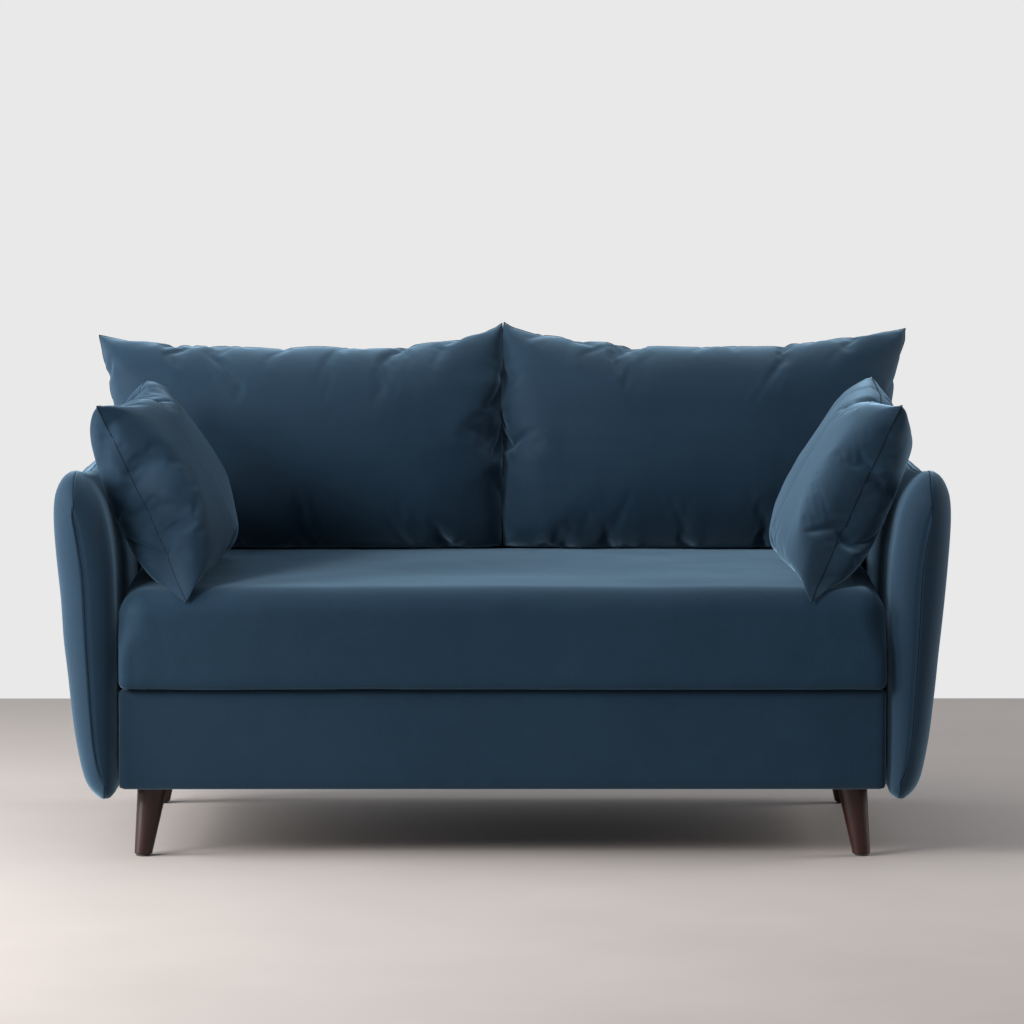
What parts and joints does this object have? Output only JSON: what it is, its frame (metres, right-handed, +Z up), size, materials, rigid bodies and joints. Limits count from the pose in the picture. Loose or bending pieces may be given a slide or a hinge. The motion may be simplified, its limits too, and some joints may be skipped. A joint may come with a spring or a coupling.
{
  "type": "two-seat sofa",
  "caption": "Velvet two-seat sofa with a bench seat cushion, slim outward-leaning arms, loose back and scatter cushions, and splayed wooden legs.",
  "frame": {"origin": "on the floor, under the middle of the sofa's bounding box", "axes": "+Z up, the sofa faces -Y, +X to the right of someone who looks at its front"},
  "size_m": [1.7088, 0.95, 1.0017],
  "materials": {
    "velvet": "satin",
    "leg_wood": "satin",
    "softwood": "matte",
    "foam": "matte",
    "felt": "matte",
    "nonwoven": "matte",
    "webbing": "matte",
    "zip_nylon": "satin",
    "glide_plastic": "satin",
    "zinc_steel": "satin",
    "spring_steel": "satin"
  },
  "bodies": {
    "frame": {"front_rail": "softwood", "rear_rail": "softwood", "left_side_rail": "softwood", "right_side_rail": "softwood", "centre_rail": "softwood", "corner_blocks": "softwood", "seat_springs": "spring_steel", "spring_clips": "zinc_steel", "seat_deck": "felt", "front_panel_foam": "foam", "front_panel_cover": "velvet", "front_left_leg": "leg_wood", "front_right_leg": "leg_wood", "rear_left_leg": "leg_wood", "rear_right_leg": "leg_wood", "leg_glides": "glide_plastic", "leg_plates": "zinc_steel", "leg_plate_screws": "zinc_steel", "leg_bolts": "zinc_steel", "dust_cover": "nonwoven", "left_arm_frame": "softwood", "left_arm_padding": "foam", "left_arm_outer_cover": "velvet", "left_arm_inner_cover": "velvet", "right_arm_frame": "softwood", "right_arm_padding": "foam", "right_arm_outer_cover": "velvet", "right_arm_inner_cover": "velvet", "arm_bolts": "zinc_steel", "arm_washers": "zinc_steel", "arm_tee_nuts": "zinc_steel", "back_frame": "softwood", "back_webbing": "webbing", "back_padding": "foam", "back_inner_cover": "velvet", "back_outer_cover": "velvet", "back_brackets": "zinc_steel"},
    "seat_cushion": {"seat_cushion_cover_top": "velvet", "seat_cushion_cover_bottom": "velvet", "seat_cushion_foam": "foam", "seat_cushion_zip": "zip_nylon"},
    "back_cushion_left": {"back_cushion_left_front_cover": "velvet", "back_cushion_left_rear_cover": "velvet", "back_cushion_left_filling": "foam", "back_cushion_left_zip": "zip_nylon"},
    "back_cushion_right": {"back_cushion_right_front_cover": "velvet", "back_cushion_right_rear_cover": "velvet", "back_cushion_right_filling": "foam", "back_cushion_right_zip": "zip_nylon"},
    "scatter_cushion_left": {"scatter_cushion_left_front_cover": "velvet", "scatter_cushion_left_rear_cover": "velvet", "scatter_cushion_left_filling": "foam", "scatter_cushion_left_zip": "zip_nylon"},
    "scatter_cushion_right": {"scatter_cushion_right_front_cover": "velvet", "scatter_cushion_right_rear_cover": "velvet", "scatter_cushion_right_filling": "foam", "scatter_cushion_right_zip": "zip_nylon"}
  },
  "joints": [
    {"name": "seat_cushion_lift", "type": "slide", "parent": "frame", "child": "seat_cushion", "axis": [0, 0, 1], "range_m": [0, 0.25]},
    {"name": "back_cushion_left_lift", "type": "slide", "parent": "seat_cushion", "child": "back_cushion_left", "axis": [0, 0, 1], "range_m": [0, 0.3]},
    {"name": "back_cushion_right_lift", "type": "slide", "parent": "seat_cushion", "child": "back_cushion_right", "axis": [0, 0, 1], "range_m": [0, 0.3]},
    {"name": "scatter_cushion_left_lift", "type": "slide", "parent": "seat_cushion", "child": "scatter_cushion_left", "axis": [0, 0, 1], "range_m": [0, 0.25]},
    {"name": "scatter_cushion_right_lift", "type": "slide", "parent": "seat_cushion", "child": "scatter_cushion_right", "axis": [0, 0, 1], "range_m": [0, 0.25]}
  ]
}
